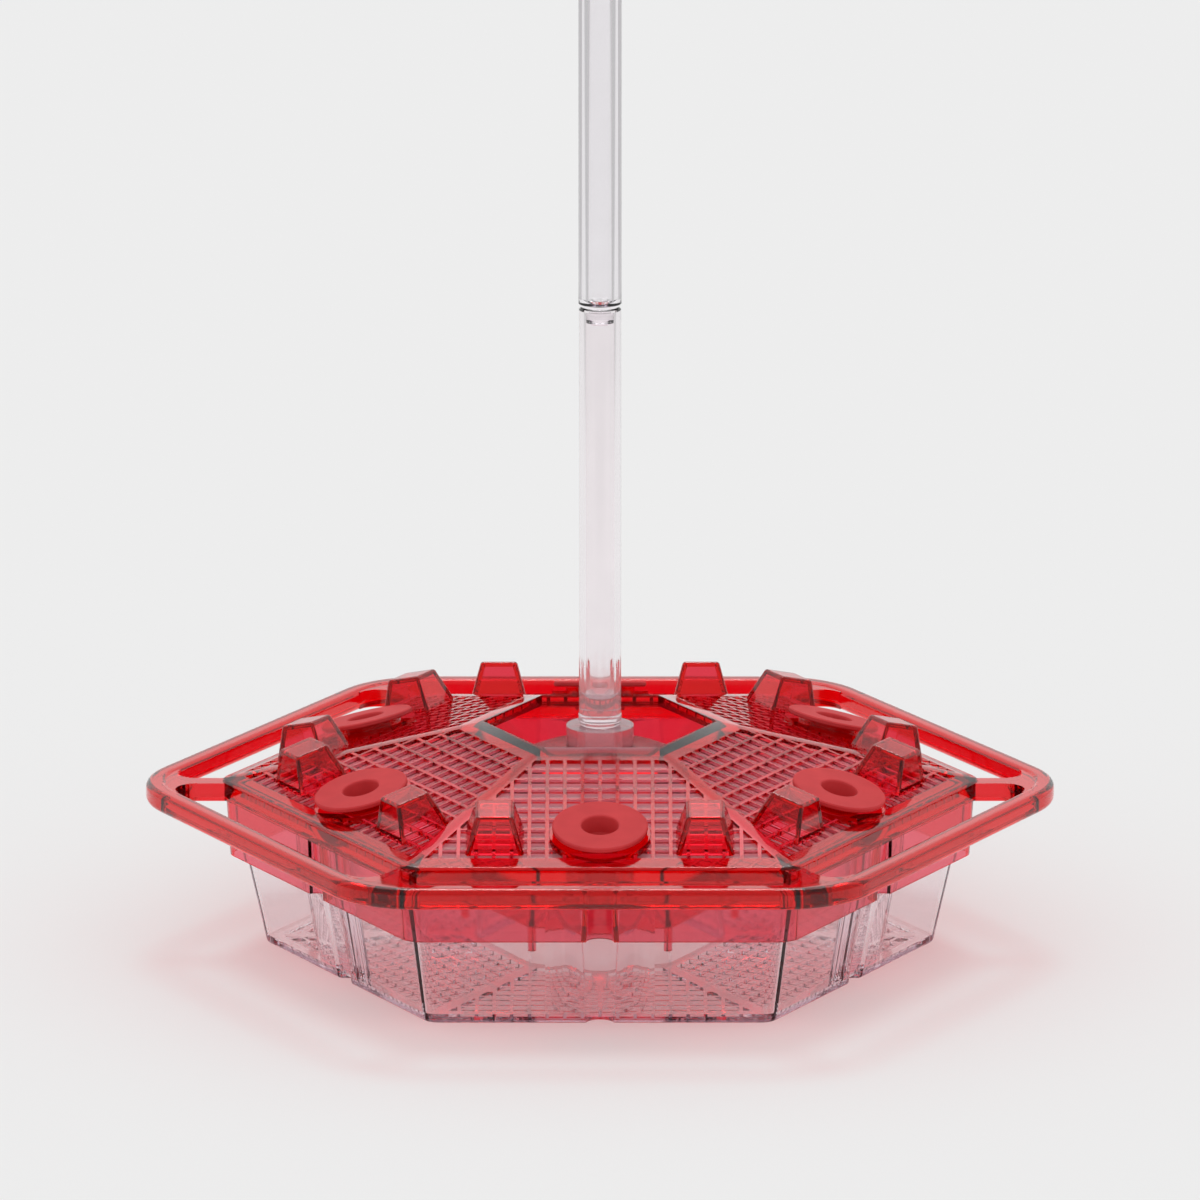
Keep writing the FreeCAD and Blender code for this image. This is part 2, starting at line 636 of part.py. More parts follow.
upper_rod = turned_body("upper_rod", [
    ("0", up_seat + " - sizes.upper_spigot_length"),
    (neck + " - 0.5", up_seat + " - sizes.upper_spigot_length"),
    (neck, up_seat + " - sizes.upper_spigot_length + 0.5"),
    (neck, up_seat),
    ("sizes.upper_rod_radius - sizes.rod_round", up_seat),
    ("sizes.upper_rod_radius - 0.3 * sizes.rod_round", up_seat + " + 0.3 * sizes.rod_round"),
    ("sizes.upper_rod_radius", up_seat + " + sizes.rod_round"),
    ("sizes.upper_rod_radius", up_top + " - 0.4"),
    ("sizes.upper_rod_radius - 0.4", up_top),
    ("sizes.upper_bore_radius", up_top),
    ("sizes.upper_bore_radius", up_seat + " + 2"),
    ("sizes.upper_bore_radius - 1", up_seat + " + 1.2"),
    ("0", up_seat + " + 1.2"),
])
hook_seat = "(%s + sizes.seat_gap)" % up_top
hook_neck = "sizes.upper_bore_radius - sizes.rod_fit"
hook_foot = turned_body("hook_foot", [
    ("0", hook_seat + " - sizes.hook_spigot_length"),
    (hook_neck + " - 0.5", hook_seat + " - sizes.hook_spigot_length"),
    (hook_neck, hook_seat + " - sizes.hook_spigot_length + 0.5"),
    (hook_neck, hook_seat),
    ("sizes.upper_rod_radius - 0.4", hook_seat),
    ("sizes.upper_rod_radius", hook_seat + " + 0.4"),
    ("sizes.upper_rod_radius", hook_seat + " + sizes.hook_collar_height - 1.2"),
    ("sizes.hook_wire_radius + 0.2", hook_seat + " + sizes.hook_collar_height"),
    ("0", hook_seat + " + sizes.hook_collar_height"),
])
doc.recompute()
probe.set("A1", "=" + hook_seat)
doc.recompute()
stem_low = float(probe.get("A1")) + size("hook_collar_height") - 1
stem_high = float(probe.get("A1")) + size("hook_collar_height") + size("hook_stem_length")
bend = size("hook_bend_radius")
turn_in = size("hook_neck_radius")
eye = stem_high + math.sqrt((bend + turn_in) ** 2 - turn_in ** 2)
meet = math.atan2(eye - stem_high, -turn_in)
join = Vec(turn_in + turn_in * math.cos(meet), 0, stem_high + turn_in * math.sin(meet))
middle = (math.pi + meet) / 2
tip = math.radians(size("hook_tip_angle"))
start = math.atan2(join.z - eye, join.x)
halfway = (start + tip) / 2
tip_point = Vec(bend * math.cos(tip), 0, eye + bend * math.sin(tip))
line = Part.makeLine(Vec(0, 0, stem_low), Vec(0, 0, stem_high))
turn_arc = Part.Arc(Vec(0, 0, stem_high),
                    Vec(turn_in + turn_in * math.cos(middle), 0, stem_high + turn_in * math.sin(middle)),
                    join).toShape()
bend_arc = Part.Arc(join, Vec(bend * math.cos(halfway), 0, eye + bend * math.sin(halfway)), tip_point).toShape()
hook_path = doc.addObject("Part::Feature", "hook_path")
hook_path.Shape = Part.Wire([line, turn_arc, bend_arc])
hook_ring = add("Part::Circle", "hook_ring", Radius="sizes.hook_wire_radius")
hook_ring.Placement = FreeCAD.Placement(Vec(0, 0, stem_low), FreeCAD.Rotation())
hook_wire = doc.addObject("Part::Sweep", "hook_wire")
hook_wire.Sections = [hook_ring]
hook_wire.Spine = (hook_path, ["Edge1", "Edge2", "Edge3"])
hook_wire.Solid = True
hook_wire.Frenet = False
hook_tip = add("Part::Sphere", "hook_tip", Radius="sizes.hook_wire_radius")
hook_tip.Placement = FreeCAD.Placement(tip_point, FreeCAD.Rotation())
hook = fuse("hook", [hook_foot, hook_wire, hook_tip])

# Feeding ports: soft plugs with a broad disc on top and a funnel cup down to a small hole.
sleeve = "sizes.port_hole_radius - sizes.port_fit"
disc_low = "(sizes.boss_height + sizes.port_fit)"
disc_top = "(sizes.boss_height + sizes.port_fit + sizes.port_disc_thickness)"
cup_low = "(%s - sizes.port_cup_depth)" % disc_top
bead_top = "(-sizes.deck_thickness - 0.3)"
bead_out = sleeve + " + sizes.port_bead_overhang + sizes.port_fit"
port_points = [
    ("sizes.port_feed_radius", cup_low + " - sizes.port_cup_floor"),
    (sleeve + " - 0.5", cup_low + " - sizes.port_cup_floor"),
    (bead_out + " - 0.3", bead_top + " - sizes.port_bead_depth"),
    (bead_out, bead_top + " - 0.3"),
    (sleeve, bead_top),
    (sleeve, disc_low),
    ("sizes.port_disc_radius - 0.3", disc_low),
    ("sizes.port_disc_radius", disc_low + " + 0.3"),
    ("sizes.port_disc_radius", disc_top + " - 0.3"),
    ("sizes.port_disc_radius - 0.3", disc_top),
    ("sizes.port_cup_radius + sizes.port_lip", disc_top),
    ("sizes.port_cup_radius + 0.3 * sizes.port_lip", disc_top + " - 0.3 * sizes.port_lip"),
    ("sizes.port_cup_radius", disc_top + " - sizes.port_lip"),
    ("sizes.port_cup_radius - 0.5", cup_low + " + 0.8"),
    ("sizes.port_cup_radius - 1.3", cup_low),
    ("sizes.port_feed_radius + 0.3", cup_low),
    ("sizes.port_feed_radius", cup_low + " - 0.3"),
]
ports = []
for panel in range(6):
    body = turned_body("feeding_port_%d" % (panel + 1), port_points)
    body.Placement = panel_frame(panel, size("port_distance"), 0, 0)
    ports.append(body)

doc.recompute()
nodes = [base_tray, cover] + ports + [lower_rod, upper_rod, hook]
for item in doc.Objects:
    bad = [word for word in item.State if "Invalid" in word or "Error" in word]
    if bad:
        raise RuntimeError("%s: %s" % (item.Name, bad))
for node in nodes:
    shape = node.Shape
    if not shape.isValid() or len(shape.Solids) != 1:
        raise RuntimeError("%s: valid %s, solids %d" % (node.Name, shape.isValid(), len(shape.Solids)))
    node.Label = node.Name
    box = shape.BoundBox
    print("%s volume %.0f box %.1f %.1f %.1f to %.1f %.1f %.1f faces %d" % (
        node.Name, shape.Volume, box.XMin, box.YMin, box.ZMin, box.XMax, box.YMax, box.ZMax, len(shape.Faces)))
    shape.exportStep("parts/%s.step" % node.Name)
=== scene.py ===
import math

import bmesh
import bpy
from mathutils import Matrix, Vector


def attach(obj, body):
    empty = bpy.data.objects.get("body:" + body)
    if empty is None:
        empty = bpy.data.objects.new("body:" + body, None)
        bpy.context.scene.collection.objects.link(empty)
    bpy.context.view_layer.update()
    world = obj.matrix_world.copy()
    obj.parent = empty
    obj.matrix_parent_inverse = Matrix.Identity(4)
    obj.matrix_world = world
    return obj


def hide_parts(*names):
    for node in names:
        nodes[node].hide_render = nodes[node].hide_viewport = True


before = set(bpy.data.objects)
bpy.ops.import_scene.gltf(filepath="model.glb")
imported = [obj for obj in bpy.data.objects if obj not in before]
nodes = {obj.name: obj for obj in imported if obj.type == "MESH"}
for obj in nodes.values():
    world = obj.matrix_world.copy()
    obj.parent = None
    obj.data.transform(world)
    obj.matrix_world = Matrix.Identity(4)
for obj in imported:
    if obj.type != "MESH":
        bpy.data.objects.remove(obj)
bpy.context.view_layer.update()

# Reservoir: one clear moulding, an open hexagonal saucer with a hollow island and a socket for the rod.
# Its floor carries a fine raised lattice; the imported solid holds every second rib, and the rest join it here.
# The walls swell softly inwards at their flutes, and the island's top comes a little frosted from the mould.
MM = 0.001
SIDES = 6
TURN = 60
TAN30 = math.tan(math.radians(30))
COS30 = math.cos(math.radians(30))
RIB_PITCH = 4.2 * MM
RIB_WIDTH = 0.85 * MM
CORNER_RIB = 3.6 * MM
POCKET_DEPTH = 1.0 * MM
# a bar bites into the solid at its ends and below the pocket, and stays a hair under the surface
END_BITE = 0.4 * MM
DEPTH_BITE = 0.25 * MM
CROSS_BITE = 0.1 * MM
UNDER_SURFACE = 0.02 * MM
SHORTEST_BAR = 0.3 * MM
SHORTEST_RIB = 2 * MM
WELD = 0.001 * MM
SHARP_EDGE = math.radians(28)


def new_part(name, mesh):
    data = bpy.data.meshes.new(name)
    mesh.to_mesh(data)
    mesh.free()
    part = bpy.data.objects.new(name, data)
    bpy.context.scene.collection.objects.link(part)
    return part


def add_bar(mesh, panel, low, high):
    # a closed bar between two corners given in a panel's own frame
    spots = [(x, y, z) for z in (low[2], high[2]) for y in (low[1], high[1]) for x in (low[0], high[0])]
    corners = [mesh.verts.new(panel @ Vector(spot)) for spot in spots]
    for quad in ((0, 2, 3, 1), (4, 5, 7, 6), (0, 1, 5, 4), (2, 6, 7, 3), (0, 4, 6, 2), (1, 3, 7, 5)):
        mesh.faces.new([corners[n] for n in quad])


def clear_of(span, blocked):
    # what is left of a span once the blocked stretches are taken out
    left = [span]
    for low, high in blocked:
        rest = []
        for start, end in left:
            if high <= start or low >= end:
                rest.append((start, end))
                continue
            if low > start:
                rest.append((start, low))
            if high < end:
                rest.append((high, end))
        left = rest
    return [piece for piece in left if piece[1] - piece[0] > SHORTEST_BAR]


def rib_spans(span, along, direction, fittings):
    # the stretches of one rib that no fitting takes
    blocked = [stretch for stretch in (fitting(along, direction) for fitting in fittings) if stretch]
    return clear_of(span, blocked)


def lattice_bars(name, outer, inner, surface_height, fall, row_pitch, direction, fittings=(), rooms=()):
    # ribs in one direction on all six panels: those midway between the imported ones, clear of the fittings,
    # and every rib where the lattice crosses a room, the open underside of a raised block
    slope = math.cos(fall)
    length = (outer - inner) / slope
    side = CORNER_RIB / 2 / COS30
    low_z, high_z = -POCKET_DEPTH - DEPTH_BITE, -UNDER_SURFACE
    if direction == "across":
        low_z, high_z = low_z - CROSS_BITE, high_z - UNDER_SURFACE
    half = RIB_WIDTH / 2
    edge = Matrix.Translation(Vector((0, -outer, surface_height)))
    mesh = bmesh.new()
    for number in range(SIDES):
        panel = Matrix.Rotation(math.radians(TURN * number), 4, "Z") @ edge @ Matrix.Rotation(fall, 4, "X")
        if direction == "up":
            reach = int(outer * TAN30 / RIB_PITCH) + 1
            for column in range(-reach, reach + 1):
                v = RIB_PITCH * column
                end = min(length, (outer - (abs(v) + side) / TAN30) / slope) + END_BITE
                spans = []
                if column % 2 and end > SHORTEST_RIB:
                    spans = rib_spans((-END_BITE, end), v, direction, fittings)
                if column % 2 == 0:
                    spans = [(middle - room, middle + room) for centre, middle, room in rooms
                             if abs(v - centre) < room]
                for start, stop in spans:
                    add_bar(mesh, panel, (v - half, start, low_z), (v + half, stop, high_z))
        else:
            for row in range(int(length / row_pitch) + 1):
                s = row_pitch * row - half
                half_row = (outer - s * slope) * TAN30 - side + END_BITE
                spans = []
                if row % 2 and s < length - RIB_WIDTH:
                    spans = rib_spans((-half_row, half_row), s, direction, fittings)
                if row % 2 == 0:
                    spans = [(centre - room, centre + room) for centre, middle, room in rooms
                             if abs(s - middle) < room]
                for start, stop in spans:
                    add_bar(mesh, panel, (start, s - half, low_z), (stop, s + half, high_z))
    return new_part(name, mesh)


def joined_copy(name, node, additions):
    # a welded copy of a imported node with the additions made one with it
    mesh = bmesh.new()
    mesh.from_mesh(nodes[node].data)
    bmesh.ops.remove_doubles(mesh, verts=mesh.verts, dist=WELD)
    piece = new_part(name, mesh)
    for number, addition in enumerate(additions):
        join = piece.modifiers.new("join_%d" % number, "BOOLEAN")
        join.operation = "UNION"
        join.solver = "MANIFOLD"
        join.object = addition
    bpy.context.view_layer.update()
    graph = bpy.context.evaluated_depsgraph_get()
    made = bpy.data.meshes.new_from_object(piece.evaluated_get(graph))
    piece.modifiers.clear()
    piece.data = made
    for addition in additions:
        bpy.data.objects.remove(addition)
    shading = bmesh.new()
    shading.from_mesh(made)
    for face in shading.faces:
        face.smooth = True
    for edge in shading.edges:
        edge.smooth = edge.calc_face_angle(0) < SHARP_EDGE
    shading.to_mesh(made)
    shading.free()
    lean = piece.modifiers.new("even_faces", "WEIGHTED_NORMAL")
    lean.keep_sharp = True
    return piece


# the wall's outer apothem at the foot and at its bend, how much it gains by the height, its thickness,
# and the plain border of the floor, in mm
FOOT_APOTHEM = 70.8
BEND_APOTHEM = 76.6
WALL_LEAN = 5.8 / 30
WALL = 1.9
FLOOR_BORDER = 2.6
# a swell at its lower and upper end: height, the wall's outer apothem there, how far it stands in, in mm
SWELL_ENDS = ((1.4, FOOT_APOTHEM + 1.4 * WALL_LEAN, 4.0), (35.9, BEND_APOTHEM + 0.24, 5.4))
SWELL_HALF = 13.0
SWELL_CREST = 1.5
SWELL_BITE = 0.9
SWELL_SHY = 0.05
SWELL_STEPS = 16


def swell(name, number):
    # the soft swelling inside the wall where a groove runs down the middle of a side
    mesh = bmesh.new()
    ends = []
    for z, apothem, depth in SWELL_ENDS:
        inner = (apothem - WALL) * MM
        row = []
        for k in range(SWELL_STEPS + 1):
            v = (2 * k / SWELL_STEPS - 1) * SWELL_HALF
            off_crest = max(0.0, abs(v) - SWELL_CREST)
            bell = 0.5 + 0.5 * math.cos(math.pi * off_crest / (SWELL_HALF - SWELL_CREST))
            row.append(mesh.verts.new((v * MM, -inner + depth * MM * bell - SWELL_SHY * MM, z * MM)))
        for v in (SWELL_HALF, -SWELL_HALF):
            row.append(mesh.verts.new((v * MM, -inner - SWELL_BITE * MM, z * MM)))
        ends.append(row)
    low, high = ends
    for k in range(len(low)):
        n = (k + 1) % len(low)
        mesh.faces.new((low[k], low[n], high[n], high[k]))
    mesh.faces.new(low)
    mesh.faces.new(high)
    mesh.transform(Matrix.Rotation(math.radians(TURN * number), 4, "Z"))
    bmesh.ops.recalc_face_normals(mesh, faces=mesh.faces)
    return new_part(name, mesh)


floor_outer = (FOOT_APOTHEM - WALL - FLOOR_BORDER) * MM
FLOOR_INNER = 30 * MM
FLOOR_HEIGHT = 2.2 * MM
swells = [swell("swell_%d" % number, number) for number in range(SIDES)]
floor_ribs = [
    lattice_bars("floor_ribs_" + direction, floor_outer, FLOOR_INNER, FLOOR_HEIGHT, 0.0, RIB_PITCH, direction)
    for direction in ("up", "across")
]
reservoir = joined_copy("reservoir", "base_tray", swells + floor_ribs)

PLASTIC_IOR = 1.49
DIMPLE_DEPTH = 0.05 * MM
# what the plastic lets by to lamps and to the light that falls on its neighbours
LET_BY = 0.97


def calculate(tree, operation, first, second):
    node = tree.nodes.new("ShaderNodeMath")
    node.operation = operation
    for slot, value in enumerate((first, second)):
        if isinstance(value, float):
            node.inputs[slot].default_value = value
        else:
            tree.links.new(value, node.inputs[slot])
    return node.outputs["Value"]


def ranged(tree, value, low, high, start, end, shape="LINEAR"):
    # start below low, end above high, and the way between them
    step = tree.nodes.new("ShaderNodeMapRange")
    step.interpolation_type = shape
    step.inputs["From Min"].default_value = low
    step.inputs["From Max"].default_value = high
    step.inputs["To Min"].default_value = start
    step.inputs["To Max"].default_value = end
    tree.links.new(value, step.inputs["Value"])
    return step.outputs["Result"]


def clouds(tree, place, scale, detail):
    noise = tree.nodes.new("ShaderNodeTexNoise")
    noise.inputs["Scale"].default_value = scale
    noise.inputs["Detail"].default_value = detail
    tree.links.new(place, noise.inputs["Vector"])
    return noise.outputs["Fac"]


def two_tones(tree, cloud, dark, light):
    ramp = tree.nodes.new("ShaderNodeValToRGB")
    for element, position, tone in zip(ramp.color_ramp.elements, (0.3, 0.7), (dark, light)):
        element.position = position
        element.color = list(tone) + [1]
    tree.links.new(cloud, ramp.inputs["Fac"])
    return ramp.outputs["Color"]


def dimples(tree, height, strength):
    bump = tree.nodes.new("ShaderNodeBump")
    bump.inputs["Strength"].default_value = strength
    bump.inputs["Distance"].default_value = DIMPLE_DEPTH
    tree.links.new(height, bump.inputs["Height"])
    return bump.outputs["Normal"]


def plastic(name, tint, roughness, soak_colour, soak_density, grain, clarity=1.0):
    # see-through moulded plastic: colour soaks the light by thickness, flow marks show in the gloss,
    # and the less clarity it has, the more light it scatters back in its tint
    material = bpy.data.materials.new(name)
    material.use_nodes = True
    tree = material.node_tree
    shader = tree.nodes["Principled BSDF"]
    output = tree.nodes["Material Output"]
    place = tree.nodes.new("ShaderNodeTexCoord").outputs["Object"]
    flow = clouds(tree, place, scale=grain, detail=3.0)
    ripple = clouds(tree, place, scale=grain * 3, detail=2.0)
    duller = [part * 0.97 for part in tint]
    tree.links.new(two_tones(tree, flow, duller, tint), shader.inputs["Base Color"])
    gloss = ranged(tree, flow, 0.0, 1.0, start=roughness * 0.6, end=roughness * 1.6)
    tree.links.new(gloss, shader.inputs["Roughness"])
    tree.links.new(dimples(tree, ripple, strength=0.1), shader.inputs["Normal"])
    shader.inputs["Transmission Weight"].default_value = clarity
    shader.inputs["IOR"].default_value = PLASTIC_IOR
    ray = tree.nodes.new("ShaderNodeLightPath")
    lamp_ray = calculate(tree, "MAXIMUM", ray.outputs["Is Shadow Ray"], ray.outputs["Is Diffuse Ray"])
    passing = tree.nodes.new("ShaderNodeBsdfTransparent")
    passing.inputs["Color"].default_value = (LET_BY, LET_BY, LET_BY, 1)
    surface = tree.nodes.new("ShaderNodeMixShader")
    tree.links.new(lamp_ray, surface.inputs[0])
    tree.links.new(shader.outputs["BSDF"], surface.inputs[1])
    tree.links.new(passing.outputs["BSDF"], surface.inputs[2])
    tree.links.new(surface.outputs["Shader"], output.inputs["Surface"])
    soak = tree.nodes.new("ShaderNodeVolumeAbsorption")
    soak.inputs["Color"].default_value = list(soak_colour) + [1]
    soak.inputs["Density"].default_value = soak_density
    tree.links.new(soak.outputs["Volume"], output.inputs["Volume"])
    return material


def finish(piece, main, frosted, is_frosted):
    # the piece's main material, and the frosted one on the faces that the test picks
    piece.data.materials.clear()
    piece.data.materials.append(main)
    piece.data.materials.append(frosted)
    for face in piece.data.polygons:
        face.material_index = 1 if is_frosted(face) else 0


ISLAND_TOP = 43.5 * MM
ISLAND_REACH = 28 * MM
FACING_DOWN = -0.5
CLEAR_SOAK = (0.45, 0.1, 0.3)
CLEAR_DENSITY = 14.0
clear_plastic = plastic("clear_plastic", tint=(1.0, 0.985, 0.99), roughness=0.03,
                        soak_colour=CLEAR_SOAK, soak_density=CLEAR_DENSITY, grain=60.0)
frosted_clear = plastic("frosted_clear", tint=(1.0, 0.7, 0.73), roughness=0.2,
                        soak_colour=CLEAR_SOAK, soak_density=CLEAR_DENSITY, grain=60.0, clarity=0.85)


def on_island_top(face):
    above = face.center.z > ISLAND_TOP and face.center.xy.length < ISLAND_REACH
    return above and face.normal.z > FACING_DOWN


finish(reservoir, clear_plastic, frosted_clear, on_island_top)
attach(reservoir, "base")
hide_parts("base_tray")

# Cover: one red see-through moulding with the roof, rim, skirt, blocks, central well and perch rail in one.
# Its six roof panels carry the same lattice, plain only under the port pads; its ribs run on beneath the
# raised blocks, and the flat bottoms of its pockets come a little frosted from the mould.
ROOF_OUTER = 80.2
ROOF_INNER = 24.5
ROOF_LOW = 41.0
ROOF_HIGH = 55.5
RIM_BORDER = 4.6
WELL_BORDER = 5.9
PORT_APOTHEM = 65.6
BLOCK_APOTHEM = 66.2
BLOCK_ASIDE = 25 * MM
BLOCK_ROOM = 5.9 * MM
PAD_CLEAR = 11.6 * MM
DECK_ROW_PITCH = 4.75 * MM
roof_fall = math.atan((ROOF_HIGH - ROOF_LOW) / (ROOF_OUTER - ROOF_INNER))
deck_outer = (ROOF_OUTER - RIM_BORDER) * MM
deck_inner = (ROOF_INNER + WELL_BORDER) * MM
deck_height = ROOF_LOW * MM + RIM_BORDER * MM * math.tan(roof_fall)
pad_middle = (deck_outer - PORT_APOTHEM * MM) / math.cos(roof_fall)
block_middle = (deck_outer - BLOCK_APOTHEM * MM) / math.cos(roof_fall)


def port_pad(along, direction):
    # the stretch of a rib that the round pad of a port takes
    off = along if direction == "up" else along - pad_middle
    if abs(off) >= PAD_CLEAR:
        return None
    chord = math.sqrt(PAD_CLEAR ** 2 - off ** 2)
    return (pad_middle - chord, pad_middle + chord) if direction == "up" else (-chord, chord)


block_rooms = [(side * BLOCK_ASIDE, block_middle, BLOCK_ROOM) for side in (-1, 1)]
red_cover = joined_copy("red_cover", "cover", [
    lattice_bars("deck_ribs_" + direction, deck_outer, deck_inner, deck_height, roof_fall, DECK_ROW_PITCH,
                 direction, [port_pad], block_rooms)
    for direction in ("up", "across")
])

RED_SOAK = (0.975, 0.0, 0.2)
RED_DENSITY = 1120.0
FLAT_ENOUGH = 0.99
DEPTH_SLACK = 0.05 * MM
red_plastic = plastic("red_clear_plastic", tint=(1.0, 0.96, 0.96), roughness=0.05,
                      soak_colour=RED_SOAK, soak_density=RED_DENSITY, grain=60.0)
frosted_red = plastic("frosted_red", tint=(1.0, 0.42, 0.47), roughness=0.15,
                      soak_colour=RED_SOAK, soak_density=RED_DENSITY, grain=60.0, clarity=0.65)
deck_up = Vector((0, -math.sin(roof_fall), math.cos(roof_fall)))
deck_edge = Vector((0, -deck_outer, deck_height))


def at_pocket_bottom(face):
    bearing = math.degrees(math.atan2(face.center.y, face.center.x)) + 90
    panel = round(bearing / TURN) % SIDES
    to_front = Matrix.Rotation(-math.radians(TURN * panel), 3, "Z")
    depth = (deck_edge - to_front @ face.center).dot(deck_up)
    flat = (to_front @ face.normal).dot(deck_up) > FLAT_ENOUGH
    return flat and abs(depth - POCKET_DEPTH) < DEPTH_SLACK


finish(red_cover, red_plastic, frosted_red, at_pocket_bottom)
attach(red_cover, "cover")
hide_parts("cover")

# Feeding ports: six soft coral plugs pressed into the roof, each a broad disc round a cup with a small hole.
# They are moulded in soft rubber, matt and a little cloudy, with a skin of very fine pits.
CORAL_DARK = (0.54, 0.03, 0.035)
CORAL_LIGHT = (0.62, 0.045, 0.05)
soft_port = bpy.data.materials.new("soft_port")
soft_port.use_nodes = True
tree = soft_port.node_tree
shader = tree.nodes["Principled BSDF"]
place = tree.nodes.new("ShaderNodeTexCoord").outputs["Object"]
cloud = clouds(tree, place, scale=140.0, detail=5.0)
pits = clouds(tree, place, scale=1800.0, detail=2.0)
tree.links.new(two_tones(tree, cloud, CORAL_DARK, CORAL_LIGHT), shader.inputs["Base Color"])
tree.links.new(ranged(tree, cloud, 0.0, 1.0, start=0.6, end=0.75), shader.inputs["Roughness"])
tree.links.new(dimples(tree, pits, strength=0.3), shader.inputs["Normal"])
shader.inputs["Specular IOR Level"].default_value = 0.25


def dress(node, material):
    nodes[node].data.materials.clear()
    nodes[node].data.materials.append(material)


for number in range(1, SIDES + 1):
    dress("feeding_port_%d" % number, soft_port)

# Rods and hook: two clear plastic tubes that plug end to end into the hub, and a clear hanging hook.
# The lower rod's foot is a little milky, and it clears within a few millimetres above its plug.
FOOT_MILKY = 59 * MM
FOOT_CLEAR = 72 * MM
FOOT_CLARITY = 0.78
ROD_SOAK = (0.4, 0.2, 0.4)
ROD_DENSITY = 10.0
rod_plastic = plastic("rod_plastic", tint=(1.0, 0.99, 1.0), roughness=0.03,
                      soak_colour=ROD_SOAK, soak_density=ROD_DENSITY, grain=90.0)
milky_plastic = plastic("milky_rod_plastic", tint=(1.0, 0.97, 0.98), roughness=0.03,
                        soak_colour=ROD_SOAK, soak_density=ROD_DENSITY, grain=90.0)
tree = milky_plastic.node_tree
height = tree.nodes.new("ShaderNodeSeparateXYZ")
tree.links.new(tree.nodes.new("ShaderNodeTexCoord").outputs["Object"], height.inputs["Vector"])
clearing = ranged(tree, height.outputs["Z"], FOOT_MILKY, FOOT_CLEAR, FOOT_CLARITY, 1.0, "SMOOTHSTEP")
tree.links.new(clearing, tree.nodes["Principled BSDF"].inputs["Transmission Weight"])
dress("lower_rod", milky_plastic)
dress("upper_rod", rod_plastic)
dress("hook", rod_plastic)

# Studio: a sheet of pale paper under the feeder, a bright wall behind it and a broad soft light overhead.
# The room in front of it is dimmer, which draws the dark lines in the clear plastic. Beyond the sheet the floor
# is a painted dark colour that only reflections and refractions see, while the camera sees paper only. A little
# painted glow is mixed in where the camera looks at the floor, and where the plastic shows the sheet; it
# lightens the feeder's shadow.
PAPER = 0.85
LIFT = 0.3
PAINTED_DIM_FLOOR_IN_REFLECTIONS = 0.55
FLOOR_REACH = 30.0
FLOOR_DROP = 0.0002
SHEET_HALF = (0.4, 0.62)
SHEET_FRONT = (-0.5, -0.3)
floor_data = bpy.data.meshes.new("floor")
floor_corners = [(x * FLOOR_REACH, y * FLOOR_REACH, 0) for x, y in ((-1, -1), (1, -1), (1, 1), (-1, 1))]
floor_data.from_pydata(floor_corners, [], [(0, 1, 2, 3)])
floor = bpy.data.objects.new("floor", floor_data)
floor.location.z = -FLOOR_DROP
bpy.context.scene.collection.objects.link(floor)
floor_paint = bpy.data.materials.new("floor_paint")
floor_paint.use_nodes = True
tree = floor_paint.node_tree
shader = tree.nodes["Principled BSDF"]
shader.inputs["Roughness"].default_value = 0.9
shader.inputs["Specular IOR Level"].default_value = 0.0
spot = tree.nodes.new("ShaderNodeTexCoord")
where = tree.nodes.new("ShaderNodeSeparateXYZ")
tree.links.new(spot.outputs["Object"], where.inputs["Vector"])
aside = calculate(tree, "ABSOLUTE", where.outputs["X"], 0.0)
across = ranged(tree, aside, *SHEET_HALF, 1.0, 0.0, "SMOOTHSTEP")
along = ranged(tree, where.outputs["Y"], *SHEET_FRONT, 0.0, 1.0, "SMOOTHSTEP")
paper = calculate(tree, "MULTIPLY", across, along)
ray = tree.nodes.new("ShaderNodeLightPath")
seen = calculate(tree, "MAXIMUM", paper, ray.outputs["Is Camera Ray"])
lit = calculate(tree, "MAXIMUM", seen, ray.outputs["Is Diffuse Ray"])
# painted dark reflection: outside the sheet, glossy and transmission rays see the floor dim, while camera and
# diffuse rays see it pale
paint = tree.nodes.new("ShaderNodeMix")
paint.data_type = "RGBA"
paint.inputs["A"].default_value = (PAINTED_DIM_FLOOR_IN_REFLECTIONS, PAINTED_DIM_FLOOR_IN_REFLECTIONS, PAINTED_DIM_FLOOR_IN_REFLECTIONS, 1)
paint.inputs["B"].default_value = (PAPER, PAPER, PAPER, 1)
tree.links.new(lit, paint.inputs["Factor"])
tree.links.new(paint.outputs["Result"], shader.inputs["Base Color"])
# painted light: the floor glows a little for the camera, and for the plastic's view of the sheet, which
# lightens the feeder's shadow
glow = tree.nodes.new("ShaderNodeEmission")
glow.inputs["Color"].default_value = (PAPER, PAPER, PAPER, 1)
through = calculate(tree, "MULTIPLY", paper, ray.outputs["Is Transmission Ray"])
shown = calculate(tree, "MAXIMUM", through, ray.outputs["Is Camera Ray"])
share = calculate(tree, "MULTIPLY", shown, LIFT)
lifted = tree.nodes.new("ShaderNodeMixShader")
tree.links.new(share, lifted.inputs[0])
tree.links.new(shader.outputs["BSDF"], lifted.inputs[1])
tree.links.new(glow.outputs["Emission"], lifted.inputs[2])
tree.links.new(lifted.outputs["Shader"], tree.nodes["Material Output"].inputs["Surface"])
floor_data.materials.append(floor_paint)

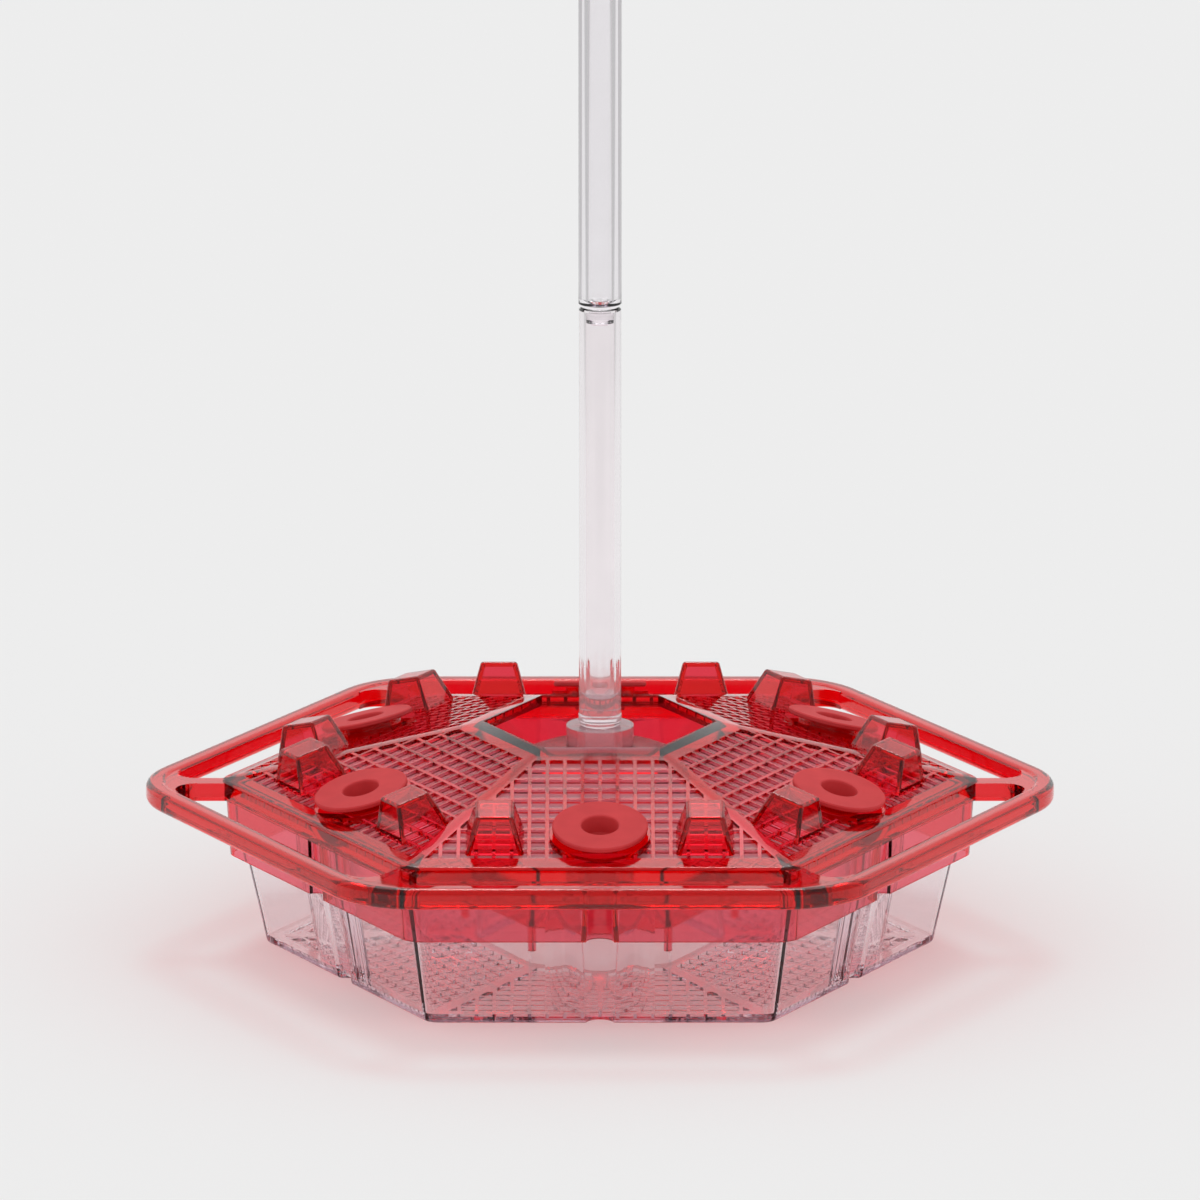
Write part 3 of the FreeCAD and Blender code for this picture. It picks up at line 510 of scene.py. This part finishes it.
FRONT_ROOM = 0.4
BACK_WALL = 0.95
WALL_EDGE = 0.5
EVEN_DOME = 0.86
SOFT_BOX = 1.2
BOX_ELEVATION = math.radians(66)
BOX_EDGE = (math.cos(math.radians(26)), math.cos(math.radians(20)))
world = bpy.data.worlds.new("room")
bpy.context.scene.world = world
world.use_nodes = True
tree = world.node_tree
room = tree.nodes["Background"]
sky = tree.nodes.new("ShaderNodeTexCoord")
way = tree.nodes.new("ShaderNodeSeparateXYZ")
tree.links.new(sky.outputs["Generated"], way.inputs["Vector"])
wall = ranged(tree, way.outputs["Y"], 0.0, WALL_EDGE, FRONT_ROOM, BACK_WALL, "SMOOTHSTEP")
toward = tree.nodes.new("ShaderNodeVectorMath")
toward.operation = "DOT_PRODUCT"
toward.inputs[1].default_value = (0, math.cos(BOX_ELEVATION), math.sin(BOX_ELEVATION))
tree.links.new(sky.outputs["Generated"], toward.inputs[0])
box = ranged(tree, toward.outputs["Value"], *BOX_EDGE, 0.0, SOFT_BOX, "SMOOTHSTEP")
light = calculate(tree, "ADD", wall, box)
ray = tree.nodes.new("ShaderNodeLightPath")
glassy = calculate(tree, "MAXIMUM", ray.outputs["Is Glossy Ray"], ray.outputs["Is Transmission Ray"])
choice = tree.nodes.new("ShaderNodeMix")
choice.inputs["A"].default_value = EVEN_DOME
tree.links.new(light, choice.inputs["B"])
tree.links.new(glassy, choice.inputs["Factor"])
tree.links.new(choice.outputs["Result"], room.inputs["Strength"])
room.inputs["Color"].default_value = (1, 1, 1, 1)

LAMP_SIZE = math.radians(18)
LAMP_STRENGTH = 0.47
LAMP_LEAN = math.radians(-24)
lamp_data = bpy.data.lights.new("soft_lamp", "SUN")
lamp_data.angle = LAMP_SIZE
lamp_data.energy = LAMP_STRENGTH
lamp = bpy.data.objects.new("soft_lamp", lamp_data)
lamp.rotation_euler = (LAMP_LEAN, 0, 0)
bpy.context.scene.collection.objects.link(lamp)

# Camera: a long lens level with the front side, looking down a little.
# It takes in a square 290 mm wide at the feeder, whose rods run out of the top of the picture.
ELEVATION = math.radians(14.5)
DISTANCE = 3.0
AIM = Vector((0, 0, 0.0858))
SENSOR = 36.0
VIEW_WIDTH = 0.29016
camera_data = bpy.data.cameras.new("camera")
camera_data.sensor_width = SENSOR
camera_data.lens = SENSOR * DISTANCE / VIEW_WIDTH
camera_data.clip_start = 0.1
camera_data.clip_end = 100.0
camera = bpy.data.objects.new("camera", camera_data)
outward = Vector((0, -math.cos(ELEVATION), math.sin(ELEVATION)))
camera.location = AIM + outward * DISTANCE
camera.rotation_mode = "QUATERNION"
camera.rotation_quaternion = (-outward).to_track_quat("-Z", "Y")
bpy.context.scene.collection.objects.link(camera)
bpy.context.scene.camera = camera

view = bpy.context.scene.view_settings
view.view_transform = "Standard"
# light goes through many walls of clear plastic before it gets out
DEEP = 24
cycles = bpy.context.scene.cycles
cycles.max_bounces = DEEP
cycles.transmission_bounces = DEEP
cycles.transparent_max_bounces = DEEP
cycles.glossy_bounces = 8
